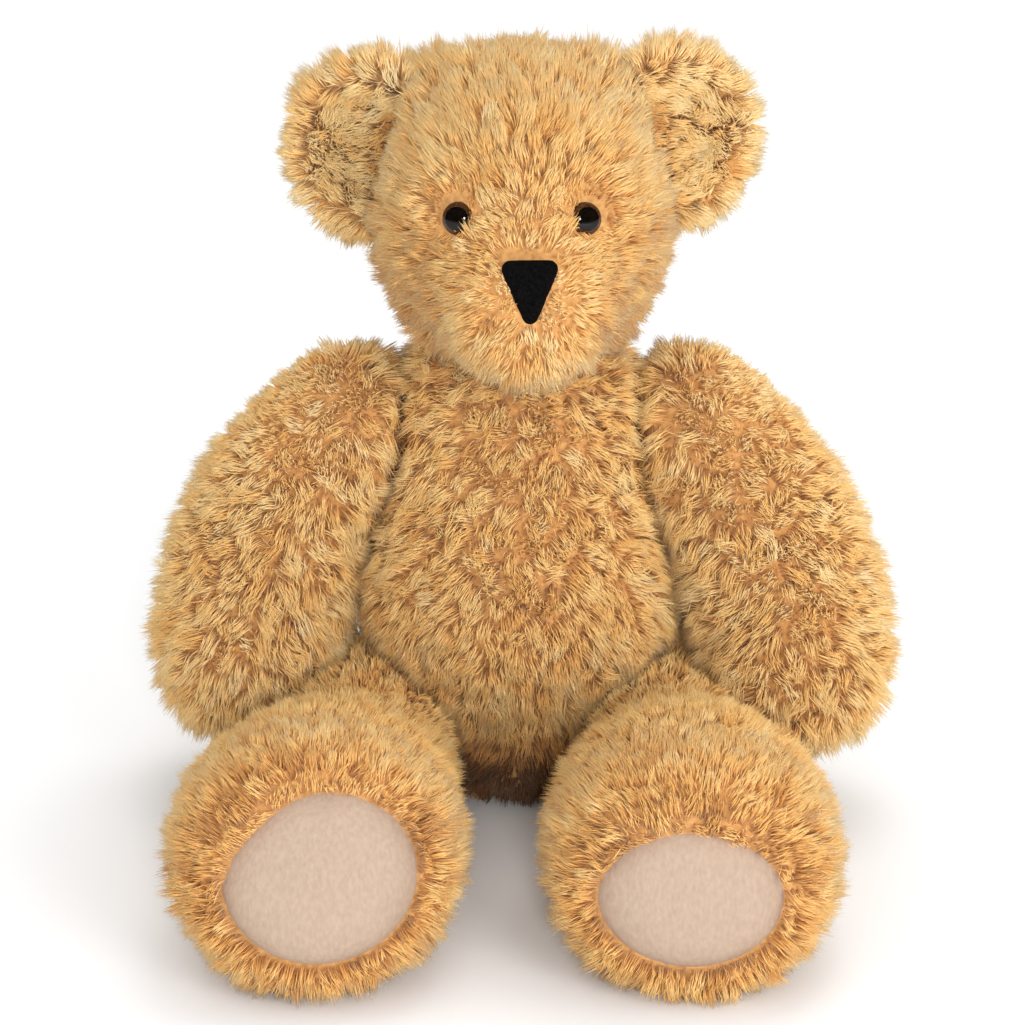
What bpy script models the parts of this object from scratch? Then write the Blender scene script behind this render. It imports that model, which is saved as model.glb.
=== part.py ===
"""A jointed teddy bear sitting with its legs forward.

Metres, +Z up. The bear faces -Y and its own left side is +X. The origin is on the floor, in the middle of the flat
seat under the body. The head and each limb turn on a disc joint: a disc inside the limb has a stem that passes
through the fabric of both pieces, and a plain disc and a lock washer hold the stem inside the body.
"""

import math

import bmesh
import bpy
from mathutils import Matrix, Vector

MM = 0.001

# Fabric and clearances
FABRIC = 2.5 * MM
GAP = 0.3 * MM
JOINT_GAP = 0.4 * MM
STUFFING_INSET = FABRIC + 0.6 * MM

# Roundness of the stuffed pieces
RING_POINTS = 8
CAGE_GROWTH = 1.108
ROUND_STEPS = 16
# A bored hole is turned a little, so that its edges miss those of the round patch it passes through
ROD_TWIST = math.radians(5)

# Disc joints
DISC_THICKNESS = 2.5 * MM
STEM_RADIUS = 3 * MM
STEM_HOLE_RADIUS = 3.6 * MM
STEM_END = 10.5 * MM
RIB_HEIGHT = 0.25 * MM
WASHER_RADIUS = 7 * MM
WASHER_THICKNESS = 2 * MM
WASHER_BORE = STEM_RADIUS + RIB_HEIGHT + 0.2 * MM
NECK = Vector((0, 2 * MM, 176 * MM))
NECK_DISC = 17.5 * MM
SHOULDER = Vector((44 * MM, 0, 141 * MM))
SHOULDER_LINE = Vector((0, SHOULDER.y, SHOULDER.z))
SHOULDER_DISC = 12 * MM
HIP = Vector((30 * MM, -2 * MM, 31 * MM))
HIP_DISC = 12.5 * MM
# A limb's round end sits in a dished patch of the body: a ball of this radius, this far out from the patch
SHOULDER_SOCKET = 28 * MM
HIP_SOCKET = 30.5 * MM
SOCKET_CENTRE = 19 * MM

# Eyes and nose
EYE_RADIUS = 6 * MM
EYE_DOME = 3.6 * MM
EYE_SHANK = 1.8 * MM
EYE_SPREAD = 21.8 * MM
EYE_SHIFT = -2 * MM
EYE_HEIGHT = 241.5 * MM
NOSE_WIDTH = 20 * MM
NOSE_HEIGHT = 23 * MM
NOSE_DOME = 5 * MM
NOSE_CENTRE = Vector((0, -85.5 * MM, 221 * MM))
NOSE_FACING = Vector((0, -1, 0.12)).normalized()
HEAD_TURN = math.radians(2)

# Ears
EAR_RADIUS = 27 * MM
EAR_DEPTH = 13 * MM
EAR_LAYER = 4 * MM
EAR_TILT = math.radians(8)
EAR_TURN = math.radians(24)

# How the names of the pieces begin that turn with the head, an arm and a leg
HEAD_PIECES = ("head_", "eye_", "ear_", "nose", "neck_post", "neck_lock")
ARM_PIECES = ("arm_", "shoulder_")
LEG_PIECES = ("leg_", "foot_pad_", "hip_")

# Each side of the bear, in mm and degrees: its direction, how far forward its arm swings, where its ear and foot
# stand, how far its toes rise, and its foot pad's middle and half sizes
SIDES = {
    "left": {
        "way": 1,
        "arm_swing": 14,
        "ear": (53, 8, 253),
        "foot_x": 59.5,
        "toe_rise": -1,
        "pad_centre": (57.5, 39.5),
        "pad_half": (32, 24.5),
    },
    "right": {
        "way": -1,
        "arm_swing": 0,
        "ear": (51, 8, 250),
        "foot_x": 71.5,
        "toe_rise": 7,
        "pad_centre": (68.5, 47),
        "pad_half": (33.5, 29.5),
    },
}


def clear_scene():
    for obj in list(bpy.data.objects):
        bpy.data.objects.remove(obj, do_unlink=True)


def new_collection(name):
    collection = bpy.data.collections.new(name)
    bpy.context.scene.collection.children.link(collection)
    return collection


def material(name, colour, roughness, metallic=0.0):
    made = bpy.data.materials.new(name)
    made.use_nodes = True
    shader = made.node_tree.nodes["Principled BSDF"]
    shader.inputs["Base Color"].default_value = (*colour, 1)
    shader.inputs["Roughness"].default_value = roughness
    shader.inputs["Metallic"].default_value = metallic
    return made


def object_from(shape, name, collection, look=None):
    """Turns a bmesh into a named object and frees it."""
    bmesh.ops.recalc_face_normals(shape, faces=shape.faces)
    mesh = bpy.data.meshes.new(name)
    shape.to_mesh(mesh)
    shape.free()
    obj = bpy.data.objects.new(name, mesh)
    collection.objects.link(obj)
    if look:
        mesh.materials.append(look)
    return obj


def piece(shape, name, look):
    return object_from(shape, name, BEAR, look)


def cutter(shape, name):
    obj = object_from(shape, name, CUTTERS)
    obj.display_type = "WIRE"
    obj.hide_render = True
    return obj


def boolean(obj, other, operation="DIFFERENCE"):
    modifier = obj.modifiers.new(f"{operation.lower()} {other.name}", "BOOLEAN")
    modifier.operation = operation
    modifier.object = other
    modifier.solver = "EXACT"


def along(axis):
    """The turn that takes +Z to the given axis."""
    return Vector((0, 0, 1)).rotation_difference(axis).to_matrix().to_4x4()


def rod(centre, axis, radius, start, end, steps=ROUND_STEPS):
    """A cylinder about an axis through centre, between two distances along it."""
    shape = bmesh.new()
    middle = centre + axis * (start + end) / 2
    twist = Matrix.Rotation(ROD_TWIST, 4, "Z")
    bmesh.ops.create_cone(
        shape,
        cap_ends=True,
        segments=steps,
        radius1=radius,
        radius2=radius,
        depth=end - start,
        matrix=Matrix.Translation(middle) @ along(axis) @ twist,
    )
    return shape


def lathed(profile, centre, axis, steps=ROUND_STEPS):
    """A closed profile of (radius, distance along the axis), spun about the axis."""
    shape = bmesh.new()
    points = [shape.verts.new((radius, 0, height)) for radius, height in profile]
    edges = [shape.edges.new((a, b)) for a, b in zip(points, points[1:])]
    if profile[0][0] > 0:
        edges.append(shape.edges.new((points[-1], points[0])))
    bmesh.ops.spin(
        shape,
        geom=points + edges,
        axis=(0, 0, 1),
        cent=(0, 0, 0),
        angle=math.tau,
        steps=steps,
        use_merge=True,
    )
    bmesh.ops.remove_doubles(shape, verts=shape.verts, dist=1e-7)
    bmesh.ops.transform(shape, matrix=Matrix.Translation(centre) @ along(axis), verts=shape.verts)
    return shape


def ring_points(centre, tangent, half_across, half_up, squareness):
    """A rounded section at right angles to the tangent. Across lies as near to +X as it can."""
    across = Vector((1, 0, 0))
    across = (across - tangent * across.dot(tangent)).normalized()
    up = tangent.cross(across)
    found = []
    for step in range(RING_POINTS):
        angle = math.tau * step / RING_POINTS
        x, y = math.cos(angle), math.sin(angle)
        size = (abs(x) ** squareness + abs(y) ** squareness) ** (-1 / squareness) * CAGE_GROWTH
        found.append(centre + across * x * size * half_across + up * y * size * half_up)
    return found


def stuffed_cage(start, stations, end, squareness):
    """A coarse loft through sections of (centre, half width, half height), closed at a point at each end."""
    shape = bmesh.new()
    centres = [start] + [centre for centre, _, _ in stations] + [end]
    rings = []
    for place, (centre, half_across, half_up) in enumerate(stations):
        tangent = (centres[place + 2] - centres[place]).normalized()
        section = ring_points(centre, tangent, half_across, half_up, squareness)
        rings.append([shape.verts.new(point) for point in section])
    for lower, upper in zip(rings, rings[1:]):
        for step in range(RING_POINTS):
            after = (step + 1) % RING_POINTS
            shape.faces.new((lower[step], lower[after], upper[after], upper[step]))
    for ring, tip in ((rings[0], start), (rings[-1], end)):
        point = shape.verts.new(tip)
        for step in range(RING_POINTS):
            shape.faces.new((ring[step], ring[(step + 1) % RING_POINTS], point))
    bmesh.ops.recalc_face_normals(shape, faces=shape.faces)
    return shape


def stuffed_surface(outline, inset=0.0):
    """The smooth closed surface of a stuffed piece, moved in by the inset, with its pressed faces cut flat."""
    holder = cutter(stuffed_cage(*outline["loft"], outline.get("squareness", 2)), "cage")
    rounding = holder.modifiers.new("rounding", "SUBSURF")
    rounding.levels = 1
    rounding.render_levels = 1
    if inset:
        shrink = holder.modifiers.new("inset", "DISPLACE")
        shrink.mid_level = 0
        shrink.strength = -inset
    graph = bpy.context.evaluated_depsgraph_get()
    mesh = bpy.data.meshes.new_from_object(holder.evaluated_get(graph))
    bpy.data.objects.remove(holder)
    shape = bmesh.new()
    shape.from_mesh(mesh)
    for point, normal in outline["flats"]:
        press_flat(shape, point - normal * inset, normal)
    return shape


def press_flat(shape, point, normal):
    """Removes what lies beyond a plane and closes the cut with one flat face."""
    bmesh.ops.bisect_plane(
        shape,
        geom=shape.verts[:] + shape.edges[:] + shape.faces[:],
        plane_co=point,
        plane_no=normal,
        clear_outer=True,
    )
    rim = [edge for edge in shape.edges if edge.is_boundary]
    bmesh.ops.contextual_create(shape, geom=rim)


def socket_profile(ball):
    """The dish that a limb's round end turns in, then a straight side."""
    heights = [SOCKET_CENTRE * step / 4 for step in range(5)]
    dish = [(math.sqrt(ball**2 - (SOCKET_CENTRE - height) ** 2), height) for height in heights]
    return [(0, 0)] + dish + [(ball, 45 * MM), (0, 45 * MM)]


def flat_profile(radius):
    return [(0, 0), (radius, 0), (radius, 45 * MM), (0, 45 * MM)]


def skin_and_stuffing(name, outline, presses=()):
    """A fabric skin open only at its holes, and the stuffing inside it.

    Each press is (centre, outward axis, profile): a solid of revolution that pushes the surface in.
    """
    skin = piece(stuffed_surface(outline), f"{name}_skin", PLUSH)
    hollow = cutter(stuffed_surface(outline, FABRIC), f"{name}_hollow")
    stuffing = piece(stuffed_surface(outline, STUFFING_INSET), f"{name}_stuffing", FILLING)
    for number, (centre, axis, profile) in enumerate(presses):
        for obj, inset in ((skin, 0), (hollow, FABRIC), (stuffing, STUFFING_INSET)):
            grown = [(radius + inset if radius else 0, height) for radius, height in profile]
            press = lathed(grown, centre - axis * inset, axis, 20)
            boolean(obj, cutter(press, f"{obj.name}_press_{number}"))
    boolean(skin, hollow)
    return skin, stuffing


def mirrored(point, way):
    return Vector((point.x * way, point.y, point.z))


def body_outline():
    sections = (
        (2, 4, 28, 32),
        (22, 4, 33, 40),
        (46, 3, 37, 43),
        (76, -2, 61, 61),
        (103, -1, 52, 55),
        (127, 1, 47, 46),
        (150, 2, 48, 40),
        (171, 2, 38, 33),
    )
    stations = [(Vector((0, y, z)) * MM, x_half * MM, y_half * MM) for z, y, x_half, y_half in sections]
    return {
        "loft": (Vector((0, 0, -12)) * MM, stations, Vector((0, 2, 192)) * MM),
        "flats": [(Vector((0, 0, 0)), Vector((0, 0, -1))), (NECK, Vector((0, 0, 1)))],
    }


def head_outline():
    sections = (
        (45, 233, 27, 30),
        (26, 230, 42, 50),
        (2, 227, 48, 58),
        (-22, 229, 48, 55),
        (-42, 225, 41, 45),
        (-56, 214, 29, 31),
        (-71, 210, 24, 25),
        (-84, 211, 19, 19),
    )
    stations = [(Vector((0, y, z)) * MM, x_half * MM, z_half * MM) for y, z, x_half, z_half in sections]
    return {
        "loft": (Vector((0, 55, 238)) * MM, stations, Vector((0, -94, 214)) * MM),
        "squareness": 2.3,
        "flats": [(NECK + Vector((0, 0, JOINT_GAP)), Vector((0, 0, -1))), (NOSE_CENTRE, NOSE_FACING)],
    }


def arm_outline(way, arm_swing):
    """The arm hangs down and out, then swings forward about the shoulder's axis."""
    sections = (
        (60, 0, 160, 22, 22),
        (63, 0, 144, 26.5, 26.5),
        (81, -1, 123, 30, 28),
        (91, -3, 101, 31, 29),
        (100, -4, 78, 31, 29),
        (105, -6, 55, 29, 28),
        (107, -7, 36, 25, 24),
    )
    swing = Matrix.Rotation(math.radians(-arm_swing), 3, "X")

    def placed(x, y, z):
        return SHOULDER_LINE + swing @ (Vector((x * way, y, z)) * MM - SHOULDER_LINE)

    stations = [(placed(x, y, z), x_half * MM, y_half * MM) for x, y, z, x_half, y_half in sections]
    facing = Vector((-way, 0, 0))
    return {
        "loft": (placed(56, 0, 172), stations, placed(108, -8, 20)),
        "flats": [(mirrored(SHOULDER, way) - facing * JOINT_GAP, facing)],
    }


def leg_outline(way, foot_x, toe_rise):
    sections = (
        (-18, 47, 0.0, 31, 20, 20),
        (-2, 48, 0.0, 31, 25.5, 25.5),
        (36, 58, 0.0, 28, 25, 22.5),
        (74, 58, 0.5, 29, 31.5, 26.5),
        (112, 58, 0.9, 35, 41, 36.5),
        (146, 58, 1.0, 38.5, 45, 40.5),
        (176, 58, 1.0, 40.5 + toe_rise / 3, 44, 41),
        (195, 58, 1.0, 43 + toe_rise, 34, 33),
    )
    stations = []
    for reach, thigh_x, toward_foot, z, x_half, z_half in sections:
        x = thigh_x + (foot_x - thigh_x) * toward_foot
        stations.append((Vector((x * way, -2 - reach, z)) * MM, x_half * MM, z_half * MM))
    start = Vector((47 * way, 26, 31)) * MM
    end = Vector((foot_x * way, -203, 44 + 1.3 * toe_rise)) * MM
    return {"loft": (start, stations, end), "flats": [(Vector((0, 0, 0)), Vector((0, 0, -1)))]}


def post_profile(radius):
    """A disc with a ribbed stem that points down the axis, measured from the face between the two fabrics."""
    disc_start = JOINT_GAP + FABRIC + GAP
    profile = [(0, disc_start + DISC_THICKNESS), (radius, disc_start + DISC_THICKNESS)]
    profile += [(radius, disc_start), (STEM_RADIUS, disc_start)]
    for rib in (8.6, 9.6):
        profile += [(STEM_RADIUS, (0.4 - rib) * MM), (STEM_RADIUS + RIB_HEIGHT, -rib * MM)]
    profile += [(STEM_RADIUS, -STEM_END + 0.4 * MM), (STEM_RADIUS - 0.6 * MM, -STEM_END), (0, -STEM_END)]
    return profile


def ring_profile(bore, radius, start, thickness):
    return [(bore, start), (radius, start), (radius, start + thickness), (bore, start + thickness)]


def disc_joint(name, centre, outward, radius, limb, torso):
    """The hardware of one joint, with its holes in the fabrics and its pockets in the stuffings."""
    piece(lathed(post_profile(radius), centre, outward), f"{name}_post_disc", JOINT_PLASTIC)
    disc_start = -(FABRIC + GAP + DISC_THICKNESS)
    plain = ring_profile(WASHER_BORE, radius, disc_start, DISC_THICKNESS)
    piece(lathed(plain, centre, outward), f"{name}_body_disc", JOINT_PLASTIC)
    washer_start = disc_start - GAP - WASHER_THICKNESS
    lock = ring_profile(WASHER_BORE, WASHER_RADIUS, washer_start, WASHER_THICKNESS)
    piece(lathed(lock, centre, outward), f"{name}_lock_washer", WASHER_STEEL)
    for skin, _ in (limb, torso):
        hole = rod(centre, outward, STEM_HOLE_RADIUS, -8 * MM, 8 * MM)
        boolean(skin, cutter(hole, f"{name}_{skin.name}_hole"))
    disc_end = JOINT_GAP + FABRIC + GAP + DISC_THICKNESS
    pocket = rod(centre, outward, radius + GAP, -6 * MM, disc_end + GAP)
    boolean(limb[1], cutter(pocket, f"{name}_limb_pocket"))
    pocket = rod(centre, outward, radius + GAP, disc_start - GAP, 6 * MM)
    boolean(torso[1], cutter(pocket, f"{name}_disc_pocket"))
    pocket = rod(centre, outward, WASHER_RADIUS + GAP, -STEM_END - GAP, 6 * MM)
    boolean(torso[1], cutter(pocket, f"{name}_stem_pocket"))


def foot_pad(name, leg_skin, spec):
    """The sole's own panel: it fills an oval window in the leg's skin."""
    half_width, half_height = spec["pad_half"]
    x, z = spec["pad_centre"]
    lean = math.radians(spec["toe_rise"] * 1.6)
    place = Matrix.Translation(Vector((x * spec["way"], -195, z)) * MM)
    place = place @ Matrix.Rotation(math.pi / 2 - lean, 4, "X")
    for margin, role in ((0.0, "pad"), (GAP, "window")):
        shape = bmesh.new()
        bmesh.ops.create_cone(
            shape, cap_ends=True, segments=28, radius1=1, radius2=1, depth=60 * MM, matrix=Matrix()
        )
        scale = Matrix.Diagonal((half_width * MM + margin, half_height * MM + margin, 1, 1))
        bmesh.ops.transform(shape, matrix=place @ scale, verts=shape.verts)
        if role == "window":
            boolean(leg_skin, cutter(shape, f"{name}_window"))
            continue
        pad = piece(shape, name, VELOUR)
        boolean(pad, bpy.data.objects[leg_skin.name + "_sole"], "INTERSECT")


def shell_copy(outline, name):
    """A second copy of a skin without holes, for cutting a panel out of."""
    shell = cutter(stuffed_surface(outline), name)
    boolean(shell, cutter(stuffed_surface(outline, FABRIC), f"{name}_hollow"))
    return shell


def fastened(name, shape, washer_radius, shank, centre, outward, head, look):
    """A face feature on a shank: its hole in the skin, its washer inside and its pocket in the stuffing."""
    piece(shape, name, look)
    start = -(FABRIC + 1.0 * MM) - 1.5 * MM
    lock = ring_profile(shank + 0.25 * MM, washer_radius, start, 1.5 * MM)
    piece(lathed(lock, centre, outward), f"{name}_washer", WASHER_PLASTIC)
    hole = rod(centre, outward, shank + 0.4 * MM, -8 * MM, 8 * MM)
    boolean(head[0], cutter(hole, f"{name}_hole"))
    inside = rod(centre, outward, washer_radius + GAP, start - 8 * MM, start + 1.8 * MM)
    boolean(head[0], cutter(inside, f"{name}_washer_seat"))
    pocket = rod(centre, outward, washer_radius + GAP, -11 * MM, 8 * MM)
    boolean(head[1], cutter(pocket, f"{name}_pocket"))


def eye(side, way, face, head):
    x = EYE_SPREAD * way + EYE_SHIFT
    _, centre, normal, _ = face.ray_cast(Vector((x, -200 * MM, EYE_HEIGHT)), Vector((0, 1, 0)))
    outward = (normal + Vector((0, -0.5, 0))).normalized()
    seat = 0.9 * MM
    rim = 0.8 * MM
    profile = [(0, seat + EYE_DOME)]
    for step in range(1, 5):
        angle = math.pi / 2 * step / 5
        height = seat + rim + (EYE_DOME - rim) * math.cos(angle)
        profile.append((EYE_RADIUS * math.sin(angle), height))
    profile += [(EYE_RADIUS, seat + rim), (EYE_RADIUS - 0.3 * MM, seat), (EYE_SHANK, seat)]
    profile += [(EYE_SHANK, -9.5 * MM), (EYE_SHANK - 0.4 * MM, -10 * MM), (0, -10 * MM)]
    shape = lathed(profile, centre, outward)
    fastened(f"eye_{side}", shape, 5 * MM, EYE_SHANK, centre, outward, head, EYE_PLASTIC)
    socket = rod(centre, outward, EYE_RADIUS + GAP, seat - GAP, 10 * MM)
    boolean(head[0], cutter(socket, f"eye_{side}_socket"))


def nose_outline(scale):
    """A rounded triangle with its flat side up, as (across, up) points."""
    corner_round = 3.2 * MM
    corners = []
    for across, up, turn in ((1, 1, 30), (-1, 1, 150), (0, -1, 270)):
        x = across * (NOSE_WIDTH / 2 - corner_round)
        y = up * (NOSE_HEIGHT / 2 - corner_round)
        corners.append((x, y, math.radians(turn)))
    points = []
    for x, y, turn in corners:
        for step in range(5):
            angle = turn - math.radians(60) + math.radians(120) * step / 4
            across = x + corner_round * math.cos(angle)
            up = y + corner_round * math.sin(angle)
            points.append((across * scale, up * scale))
    return points


def nose(head):
    """A domed rounded triangle on a stem."""
    seat = 0.3 * MM
    levels = ((1.0, seat), (1.0, seat + 1.5 * MM), (0.86, seat + 3.4 * MM), (0.55, seat + 4.6 * MM))
    shape = bmesh.new()
    rings = [[shape.verts.new((x, y, height)) for x, y in nose_outline(scale)] for scale, height in levels]
    for lower, upper in zip(rings, rings[1:]):
        for step, _ in enumerate(lower):
            after = (step + 1) % len(lower)
            shape.faces.new((lower[step], lower[after], upper[after], upper[step]))
    shape.faces.new(rings[0])
    tip = shape.verts.new((0, 0, seat + NOSE_DOME))
    for step, _ in enumerate(rings[-1]):
        shape.faces.new((rings[-1][step], rings[-1][(step + 1) % len(rings[-1])], tip))
    upright = Matrix.Translation(NOSE_CENTRE) @ NOSE_FACING.to_track_quat("Z", "Y").to_matrix().to_4x4()
    bmesh.ops.transform(shape, matrix=upright, verts=shape.verts)
    stem_radius = 2.2 * MM
    fastened("nose", shape, 7 * MM, stem_radius, NOSE_CENTRE, NOSE_FACING, head, NOSE_FLOCK)
    stem = cutter(rod(NOSE_CENTRE, NOSE_FACING, stem_radius, -10 * MM, 2 * MM, 12), "nose_stem")
    boolean(bpy.data.objects["nose"], stem, "UNION")


def ear_layer_profile(front, back):
    """Half of a dish section between two depths behind its rim."""
    steps = [step / 4 for step in range(5)]
    front_face = [((EAR_RADIUS + front * 0.5) * step, EAR_DEPTH * step**2.4 - front) for step in steps]
    back_face = [((EAR_RADIUS + back * 0.5) * step, EAR_DEPTH * step**2.4 - back) for step in steps]
    return front_face + back_face[::-1]


def ear(side, way, place, head_cut):
    """Two layers of plush, dished to face forward, whose inner edges meet the side of the head."""
    centre = mirrored(Vector(place) * MM, way)
    facing = Vector((math.sin(EAR_TURN) * way, -math.cos(EAR_TURN), math.sin(EAR_TILT))).normalized()
    front = lathed(ear_layer_profile(0, EAR_LAYER), centre, facing, 20)
    back = lathed(ear_layer_profile(EAR_LAYER + GAP, 2 * EAR_LAYER + GAP), centre, facing, 20)
    for name, shape in ((f"ear_front_{side}", front), (f"ear_back_{side}", back)):
        boolean(piece(shape, name, PLUSH), head_cut)


def turn_head():
    """Turns every piece of the head about the neck's axis."""
    turn = Matrix.Translation(NECK) @ Matrix.Rotation(HEAD_TURN, 4, "Z") @ Matrix.Translation(-NECK)
    for obj in bpy.data.objects:
        if obj.name.startswith(HEAD_PIECES):
            obj.data.transform(turn)


def place_origins():
    """Puts the origin of each moving piece on its joint's axis, without moving its surface."""
    for obj in BEAR.objects:
        way = -1 if "_right" in obj.name else 1
        if obj.name.startswith(HEAD_PIECES):
            origin = NECK
        elif obj.name.startswith(ARM_PIECES):
            origin = mirrored(SHOULDER, way)
        elif obj.name.startswith(LEG_PIECES):
            origin = mirrored(HIP, way)
        else:
            continue
        obj.data.transform(Matrix.Translation(-origin))
        obj.location = origin


def build_head():
    outline = head_outline()
    head = skin_and_stuffing("head", outline)
    face = cutter(stuffed_surface(outline), "head_face")
    ear_cut = cutter(stuffed_surface(outline, -0.5 * MM), "head_ear_cut")
    bpy.context.view_layer.update()
    for side, spec in SIDES.items():
        eye(side, spec["way"], face, head)
        ear(side, spec["way"], spec["ear"], ear_cut)
    nose(head)
    return head


def build_bear():
    presses = []
    for spec in SIDES.values():
        outward = Vector((spec["way"], 0, 0))
        presses.append((mirrored(SHOULDER, spec["way"]), outward, socket_profile(SHOULDER_SOCKET)))
        presses.append((mirrored(HIP, spec["way"]), outward, socket_profile(HIP_SOCKET)))
    torso = skin_and_stuffing("body", body_outline(), presses)
    head = build_head()
    disc_joint("neck", NECK, Vector((0, 0, 1)), NECK_DISC, head, torso)
    for side, spec in SIDES.items():
        way = spec["way"]
        outward = Vector((way, 0, 0))
        arm = skin_and_stuffing(f"arm_{side}", arm_outline(way, spec["arm_swing"]))
        disc_joint(f"shoulder_{side}", mirrored(SHOULDER, way), outward, SHOULDER_DISC, arm, torso)
        outline = leg_outline(way, spec["foot_x"], spec["toe_rise"])
        thigh_press = (mirrored(HIP, way) + outward * JOINT_GAP, -outward, flat_profile(30 * MM))
        leg = skin_and_stuffing(f"leg_{side}", outline, [thigh_press])
        shell_copy(outline, f"leg_{side}_skin_sole")
        foot_pad(f"foot_pad_{side}", leg[0], spec)
        disc_joint(f"hip_{side}", mirrored(HIP, way), outward, HIP_DISC, leg, torso)


clear_scene()
BEAR = new_collection("teddy_bear")
CUTTERS = new_collection("cutters")
CUTTERS.hide_render = True
PLUSH = material("honey_plush", (0.60, 0.36, 0.13), 0.9)
FILLING = material("polyester_filling", (0.86, 0.85, 0.82), 0.95)
VELOUR = material("beige_velour", (0.72, 0.55, 0.43), 0.85)
JOINT_PLASTIC = material("joint_plastic", (0.85, 0.85, 0.83), 0.5)
WASHER_STEEL = material("lock_washer_steel", (0.56, 0.57, 0.58), 0.35, 1.0)
WASHER_PLASTIC = material("washer_plastic", (0.90, 0.90, 0.88), 0.5)
EYE_PLASTIC = material("black_eye_plastic", (0.008, 0.005, 0.004), 0.08)
NOSE_FLOCK = material("black_nose_flock", (0.006, 0.005, 0.005), 0.95)
build_bear()
turn_head()
place_origins()
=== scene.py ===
"""Looks of the jointed teddy bear: long plush made of real strands, velour foot pads, glossy eyes, flocked nose.

Metres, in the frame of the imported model: +Z up, the bear faces -Y, and its own left side is +X.
"""

import math

import bmesh
import bpy
import numpy as np
from mathutils import Matrix, Vector
from mathutils.bvhtree import BVHTree
from mathutils.kdtree import KDTree


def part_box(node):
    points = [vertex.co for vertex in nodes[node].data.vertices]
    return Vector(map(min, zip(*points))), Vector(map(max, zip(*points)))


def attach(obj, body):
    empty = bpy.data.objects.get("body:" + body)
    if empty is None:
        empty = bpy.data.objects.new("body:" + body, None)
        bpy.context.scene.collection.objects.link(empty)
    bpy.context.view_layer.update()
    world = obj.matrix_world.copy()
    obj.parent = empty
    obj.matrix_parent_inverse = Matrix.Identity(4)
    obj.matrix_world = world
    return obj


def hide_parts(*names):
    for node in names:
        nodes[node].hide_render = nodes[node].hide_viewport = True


MM = 0.001
SEED = 11

# Camera
CAMERA_TARGET = Vector((-3 * MM, 0, 107.8 * MM))
CAMERA_ELEVATION = math.radians(20)
CAMERA_DISTANCE = 1.5
CAMERA_LENS = 138.6

# Undercoat: the fabric's smooth surface, raised a little and roughened under the pile
VOXEL = 2.4 * MM
UNDERCOAT_RAISE = 2.4 * MM
UNDERCOAT_BUMP = 0.6 * MM

# Pile: a lock is a tuft of strands that lean together at their tips, and a wisp is a few strands within it
LOCK_SPACING = 4.6 * MM
WISP_SPACING = 1.8 * MM
STRANDS_PER_MM2 = {"head": 1.6, "ear": 2.3, "body": 1.22, "arm": 1.22, "leg": 1.22}
STRAND_RADIUS = 0.25 * MM
LOCKING = 0.20
WISPING = 0.38
WANDER = 0.75
CALM_WANDER = 0.5
FLYAWAY_SHARE = 0.15
CURL = 0.26
# Painted shade: the pile's tone is lowered by this much in creases where another piece is close
CREASE_PAINTED_SHADE = -0.40

# The head is full beside its ears
CROWN_RAISE = 4.2 * MM

# Foot pads
PAD_FLAT = {"left": 0.03, "right": 0.13}
PAD_FLAT_ANGLE = math.radians(140)
PAD_FLAT_WIDTH = math.radians(38)
LEAST_ROOM = 2.2 * MM
MOST_ROOM = 25 * MM
MOST_STRANDS = 19500
FLOOR_CLEARANCE = 0.35 * MM

SIDES = {"left": 1, "right": -1}

rng = np.random.default_rng(SEED)
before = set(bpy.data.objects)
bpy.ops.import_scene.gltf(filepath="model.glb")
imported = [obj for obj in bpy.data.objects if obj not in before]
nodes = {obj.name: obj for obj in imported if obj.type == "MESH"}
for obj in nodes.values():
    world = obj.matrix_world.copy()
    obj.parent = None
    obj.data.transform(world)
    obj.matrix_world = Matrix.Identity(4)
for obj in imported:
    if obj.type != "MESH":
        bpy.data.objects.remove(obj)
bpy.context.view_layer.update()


# ---------------------------------------------------------------- mesh helpers


def arrays_of(mesh):
    """Points and triangles of a mesh."""
    mesh.calc_loop_triangles()
    points = np.empty(len(mesh.vertices) * 3, np.float32)
    mesh.vertices.foreach_get("co", points)
    faces = np.empty(len(mesh.loop_triangles) * 3, np.int32)
    mesh.loop_triangles.foreach_get("vertices", faces)
    return points.reshape(-1, 3).astype(float), faces.reshape(-1, 3)


def joined(names):
    """Points and triangles of several CAD nodes together."""
    points, faces, start = [], [], 0
    for name in names:
        some_points, some_faces = arrays_of(nodes[name].data)
        points.append(some_points)
        faces.append(some_faces + start)
        start += len(some_points)
    return np.concatenate(points), np.concatenate(faces)


def tree_of(names):
    """One search tree over several CAD nodes."""
    points, faces = joined(names)
    return BVHTree.FromPolygons(points.tolist(), faces.tolist())


def unit(vectors):
    return vectors / np.maximum(np.linalg.norm(vectors, axis=-1, keepdims=True), 1e-9)


def tangential(vectors, normals):
    """The part of each vector that lies in the surface."""
    return vectors - normals * (vectors * normals).sum(1, keepdims=True)


def smoothstep(low, high, value):
    t = np.clip((value - low) / (high - low), 0, 1)
    return t * t * (3 - 2 * t)


def new_object(name, mesh, look):
    obj = bpy.data.objects.new(name, mesh)
    bpy.context.scene.collection.objects.link(obj)
    mesh.materials.append(look)
    return obj


def applied(obj, modifiers):
    """A new mesh with these modifiers applied. Each is (type, {setting: value})."""
    for kind, settings in modifiers:
        modifier = obj.modifiers.new(kind.lower(), kind)
        for key, value in settings.items():
            setattr(modifier, key, value)
    graph = bpy.context.evaluated_depsgraph_get()
    return bpy.data.meshes.new_from_object(obj.evaluated_get(graph))


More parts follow.
